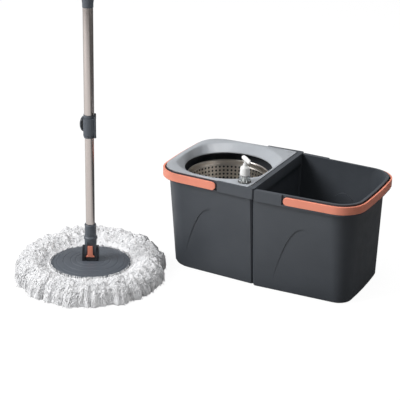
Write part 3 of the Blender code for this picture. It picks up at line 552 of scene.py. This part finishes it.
def yarn_height(radius, angle, reach):
    """The heap slopes gently before the plate and stands higher behind it."""
    share = (radius - YARN_START) / (reach - YARN_START)
    behind = 0.5 - 0.5 * math.cos(angle - YARN_LONG_WAY)
    level = (along_profile(YARN_FRONT, share) * (1 - behind)
             + along_profile(YARN_BACK, share) * behind)
    if 0 < share < 1:
        place = Vector((radius * math.cos(angle), radius * math.sin(angle), 0))
        lumps = sum(height * noise.noise(place * fine) for fine, height in HEAP_LUMPS)
        level += min(1, 5 * share, 8 * (1 - share)) * lumps
    return level


def swelling(share):
    """A tuft swells a little past its root and tapers to its tip."""
    return (0.55 + 0.75 * math.sin(math.pi * min(share + 0.15, 1))) * (1 - 0.8 * share ** 3)


def add_tuft(bm, rng, radius, angle, heading, length, lift):
    """A soft pointed lock of fibre lying on the heap: rooted in it, its tip a little proud."""
    rows = []
    bend = rng.uniform(-TUFT_BEND, TUFT_BEND)
    girth = TUFT_RADIUS * rng.uniform(0.7, 1.35)
    for index in range(TUFT_POINTS):
        share = index / (TUFT_POINTS - 1)
        way = heading + bend * share
        radius += length / TUFT_POINTS * math.cos(way)
        angle += length / TUFT_POINTS * math.sin(way) / radius
        height = yarn_height(radius, angle, reach_at(angle))
        level = height - TUFT_ROOT + lift * math.sin(share * TUFT_ARCH)
        if radius < YARN_START:
            level = max(level, OVER_PLATE + girth)
        middle = Vector((MOP_AXIS.x + radius * math.cos(angle),
                         MOP_AXIS.y + radius * math.sin(angle), level))
        side = Vector((-math.sin(angle + way), math.cos(angle + way), 0))
        row = []
        for corner in range(TUFT_SIDES):
            turn = 2 * math.pi * (corner + 0.5 * (index % 2)) / TUFT_SIDES
            out = girth * swelling(share) * (1 + rng.uniform(-0.3, 0.3))
            place = middle + side * out * math.cos(turn)
            place.z = max(place.z + out * math.sin(turn), OVER_FLOOR)
            row.append(bm.verts.new(place))
        rows.append(row)
    for first, second in zip(rows, rows[1:]):
        bridge(bm, first, second)
    bm.faces.new(rows[0])
    bm.faces.new(rows[-1])


def add_core(bm):
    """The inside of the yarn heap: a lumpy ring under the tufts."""
    rings = []
    for step in range(CORE_AROUND):
        angle = 2 * math.pi * step / CORE_AROUND
        reach = reach_at(angle) - CORE_WITHIN
        ring = [(YARN_INSIDE, OVER_FLOOR), (YARN_INSIDE, YARN_UNDER_PLATE),
                (YARN_START - CORE_GAP, YARN_UNDER_PLATE)]
        for index in range(CORE_ACROSS):
            share = index / (CORE_ACROSS - 1)
            radius = YARN_START + (reach - YARN_START) * share
            ring.append((radius, yarn_height(radius, angle, reach)))
        ring.append((reach - CORE_FOOT, OVER_FLOOR))
        rings.append([around(bm, MOP_AXIS, radius, angle, z) for radius, z in ring])
    for first, second in zip(rings, rings[1:] + rings[:1]):
        bridge(bm, first, second)


def make_strings():
    rng = random.Random(7)
    bm = bmesh.new()
    add_core(bm)
    for _ in range(TUFT_COUNT):
        angle = rng.uniform(0, 2 * math.pi)
        reach = reach_at(angle)
        share = rng.uniform(0.02, 0.97) ** 0.8
        radius = YARN_START + TUFT_MARGIN + (reach - YARN_START - 2 * TUFT_MARGIN) * share
        heading = rng.gauss(0, TUFT_SWAY)
        length = rng.uniform(*TUFT_LENGTH) * (1 - 0.5 * share * share)
        add_tuft(bm, rng, radius, angle, heading, length, rng.uniform(*TUFT_LIFT))
    for _ in range(EDGE_TUFT_COUNT):
        angle = YARN_LONG_WAY + rng.gauss(0, EDGE_TUFT_SPREAD)
        heading = math.pi + rng.gauss(0, EDGE_TUFT_SWAY)
        add_tuft(bm, rng, YARN_START + EDGE_TUFT_START, angle, heading,
                 rng.uniform(*EDGE_TUFT_LENGTH), rng.uniform(*EDGE_TUFT_LIFT))
    piece("mop_yarn", bm, "refill", "yarn", 180, ("mop_strings",))


# ---- basket --------------------------------------------------------------------------------
HOLES_ROUND, HOLE_ROWS = 60, 7
HOLE_RADIUS, ROW_PITCH = 0.0023, 0.0076
FIRST_ROW_BELOW_RIM = 0.0155
CELL_STEPS = 4                    # lattice steps across and down a cell with one hole
SHEET = 0.0007
BASKET_SHARP = 40                 # degrees
WALL_INSIDE_RIM, WALL_FOOT = 0.0035, 0.0720        # the wall's radius at its top and foot
WALL_BELOW_RIM, WALL_ABOVE_FOOT = 0.004, 0.006     # and the heights where it has them
WALL_END = 0.009                  # how far up the wall's last ring is
# rings above the holes: how far outside the sloping wall, and how far below the rim
BASKET_COLLAR = ((0, 0.0118), (0.0006, 0.0110), (0.0004, 0.0045))
# rings of the rolled lip: how far outside the wall's top, and how far below the rim
BASKET_LIP = ((0.0003, 0.0022), (0.0012, 0.0008), (0.0022, 0.0006), (0.0027, 0.0014),
              (0.0029, 0.0030))
# rings of the rounded foot: how far inside the wall's foot, and how far up
BASKET_FOOT = ((0.0008, 0.0045), (0.0030, 0.0018), (0.0065, 0.0009))
# rings of the floor with its pressed step: radius, and how far up
BASKET_FLOOR = ((0.0500, 0.0009), (0.0480, 0.0019), (0.0340, 0.0019), (0.0320, 0.0009),
                (0.0163, 0.0009))


def cell_border(left, top):
    """The lattice steps round one cell, from its top left corner."""
    steps = range(CELL_STEPS)
    right, bottom = left + CELL_STEPS, top + CELL_STEPS
    return ([(left + step, top) for step in steps] + [(right, top + step) for step in steps]
            + [(right - step, bottom) for step in steps]
            + [(left, bottom - step) for step in steps])


def make_basket():
    """Pressed sheet with punched holes: a wall of cells, each a ring round its hole."""
    low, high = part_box("basket_shell")
    rim_z, foot_z = high.z, low.z
    wall_top = high.x - WALL_INSIDE_RIM
    slope_foot = foot_z + WALL_ABOVE_FOOT
    slope_height = rim_z - WALL_BELOW_RIM - slope_foot
    top_z = rim_z - FIRST_ROW_BELOW_RIM + ROW_PITCH / 2
    columns = HOLES_ROUND * CELL_STEPS
    bm = bmesh.new()
    lattice = {}

    def wall_radius(z):
        return WALL_FOOT + (wall_top - WALL_FOOT) * (z - slope_foot) / slope_height

    def border(column, step):
        """A vertex on the lattice between the cells."""
        key = (column % columns, step)
        if key not in lattice:
            z = top_z - step * ROW_PITCH / CELL_STEPS
            angle = 2 * math.pi * column / columns
            lattice[key] = around(bm, BASKET_AXIS, wall_radius(z), angle, z)
        return lattice[key]

    def punched_cell(left, top):
        outer = [border(column, step) for column, step in cell_border(left, top)]
        middle_angle = 2 * math.pi * (left + CELL_STEPS / 2) / columns
        middle_z = top_z - (top / CELL_STEPS + 0.5) * ROW_PITCH
        inner = []
        for index in range(len(outer)):
            turn = math.radians(135 - 360 / len(outer) * index)
            z = middle_z + HOLE_RADIUS * math.sin(turn)
            angle = middle_angle + HOLE_RADIUS * math.cos(turn) / wall_radius(z)
            inner.append(around(bm, BASKET_AXIS, wall_radius(z), angle, z))
        bridge(bm, outer, inner)

    def band(step, profile):
        """Rings of faces going on from a row of the lattice."""
        row = [border(column, step) for column in range(columns)]
        for radius, z in profile:
            fresh = [around(bm, BASKET_AXIS, radius, 2 * math.pi * index / columns, z)
                     for index in range(columns)]
            bridge(bm, row, fresh)
            row = fresh

    for row in range(HOLE_ROWS):
        for cell in range(HOLES_ROUND):
            punched_cell(cell * CELL_STEPS, row * CELL_STEPS)
    collar = [(wall_radius(rim_z - below) + out, rim_z - below) for out, below in BASKET_COLLAR]
    lip = [(wall_top + out, rim_z - below) for out, below in BASKET_LIP]
    band(0, collar + lip)
    wall_end = [(wall_radius(foot_z + WALL_END), foot_z + WALL_END)]
    foot = [(WALL_FOOT - inside, foot_z + up) for inside, up in BASKET_FOOT]
    floor = [(radius, foot_z + up) for radius, up in BASKET_FLOOR]
    band(HOLE_ROWS * CELL_STEPS, wall_end + foot + floor)
    basket = piece("basket_shell_fine", bm, "basket", "polished_steel", BASKET_SHARP,
                   ("basket_shell",))
    sheet = basket.modifiers.new("sheet", "SOLIDIFY")
    sheet.thickness = SHEET
    sheet.offset = 0.0
    keep_modifiers(basket, BASKET_SHARP)


# ---- splash deck ---------------------------------------------------------------------------
DECK_SPOKES, DECK_RINGS = 240, 14
DECK_SHEET = 0.0024
DECK_OPENING = 0.0895
DECK_EDGE = 0.0006
DECK_SHARP = 30                   # degrees
# the brim's rounded edge: how far in from the deck's outline, and how far below its top
BRIM_EDGE = ((0, DECK_SHEET - 0.0005), (0, DECK_EDGE), (0.0002, 0.0002), (DECK_EDGE, 0))
BRIM_UNDERSIDE = 0.0005
SOFT_START = 0.3                  # share of the funnel that bends before it runs straight
OUTSIDE, ABOVE = 0.3, Vector((0, 0, 0.3))          # well clear of the deck
FUNNEL_LIMIT, BRIM_LEAST, FUNNEL_LEAST = 0.112, 0.003, 0.001
SEARCH_STEP, FALLEN = 0.0003, 0.0001       # how the funnel's beginning is looked for
PUMP_HOLE_RADIUS, PUMP_HOLE_DEPTH = 0.0116, 0.05


def deck_ways(top_z):
    """Along each direction, how far out the deck's edge is and where its funnel begins."""
    bm = bmesh.new()
    bm.from_mesh(NODES["splash_deck"].data)
    tree = BVHTree.FromBMesh(bm)
    bm.free()
    ways = []
    for index in range(DECK_SPOKES):
        angle = 2 * math.pi * (index + 0.5) / DECK_SPOKES
        out = Vector((math.cos(angle), math.sin(angle), 0))
        edge = tree.ray_cast(out * OUTSIDE + Vector((0, 0, top_z - DECK_SHEET / 2)), -out)[0]
        reach = Vector((edge.x, edge.y)).length
        start = min(reach - BRIM_LEAST, FUNNEL_LIMIT)
        while start > DECK_OPENING + FUNNEL_LEAST:
            hit = tree.ray_cast(out * start + ABOVE, Vector((0, 0, -1)))[0]
            if hit and hit.z < top_z - FALLEN:
                break
            start -= SEARCH_STEP
        ways.append((out, reach, start))
    return ways


def cut_pump_hole(deck, top_z):
    hole = bmesh.new()
    bmesh.ops.create_cone(hole, cap_ends=True, segments=64, radius1=PUMP_HOLE_RADIUS,
                          radius2=PUMP_HOLE_RADIUS, depth=PUMP_HOLE_DEPTH,
                          matrix=Matrix.Translation((PUMP_AXIS.x, PUMP_AXIS.y, top_z)))
    cutter = link_mesh("hole", hole)
    cut = deck.modifiers.new("hole", "BOOLEAN")
    cut.operation = "DIFFERENCE"
    cut.solver = "EXACT"
    cut.object = cutter
    keep_modifiers(deck, DECK_SHARP)
    bpy.data.objects.remove(cutter)


def make_deck():
    """A smooth moulded sheet: a flat brim, then a funnel that steepens down to the opening."""
    low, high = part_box("splash_deck")
    top_z = high.z
    drop = top_z - low.z - DECK_SHEET
    ways = deck_ways(top_z)
    bm = bmesh.new()
    rings = []

    def ring(place):
        rings.append([])
        for out, reach, start in ways:
            radius, z = place(reach, start)
            rings[-1].append(bm.verts.new(out * radius + Vector((0, 0, z))))

    def funnel(share, start):
        fall = share * share / (2 * SOFT_START)
        if share > SOFT_START:
            fall = 1 - (1 - share) * (1 - SOFT_START / 2) / (1 - SOFT_START)
        return start + (DECK_OPENING - start) * share, top_z - drop * fall

    for inset, below in BRIM_EDGE:
        ring(lambda reach, start: (reach - inset, top_z - below))
    for step in range(DECK_RINGS + 1):
        ring(lambda reach, start: funnel(step / DECK_RINGS, start))
    ring(lambda reach, start: (DECK_OPENING, top_z - drop - DECK_SHEET + DECK_EDGE))
    for step in range(DECK_RINGS + 1):
        share = 1 - step / DECK_RINGS
        ring(lambda reach, start: (funnel(share, start)[0] + DECK_EDGE * (share == 1),
                                   funnel(share, start)[1] - DECK_SHEET))
    ring(lambda reach, start: (reach - BRIM_UNDERSIDE, top_z - DECK_SHEET))
    for first, second in zip(rings, rings[1:] + rings[:1]):
        bridge(bm, first, second)
    deck = piece("splash_deck_fine", bm, "splash_deck", "deck_grey", DECK_SHARP,
                 ("splash_deck",))
    cut_pump_hole(deck, top_z)


def make_all():
    make_stage()
    for node in NODES:
        dress_cad_node(node)
    make_turned_parts()
    make_basket()
    make_deck()
    make_strings()


make_all()
bpy.context.view_layer.update()
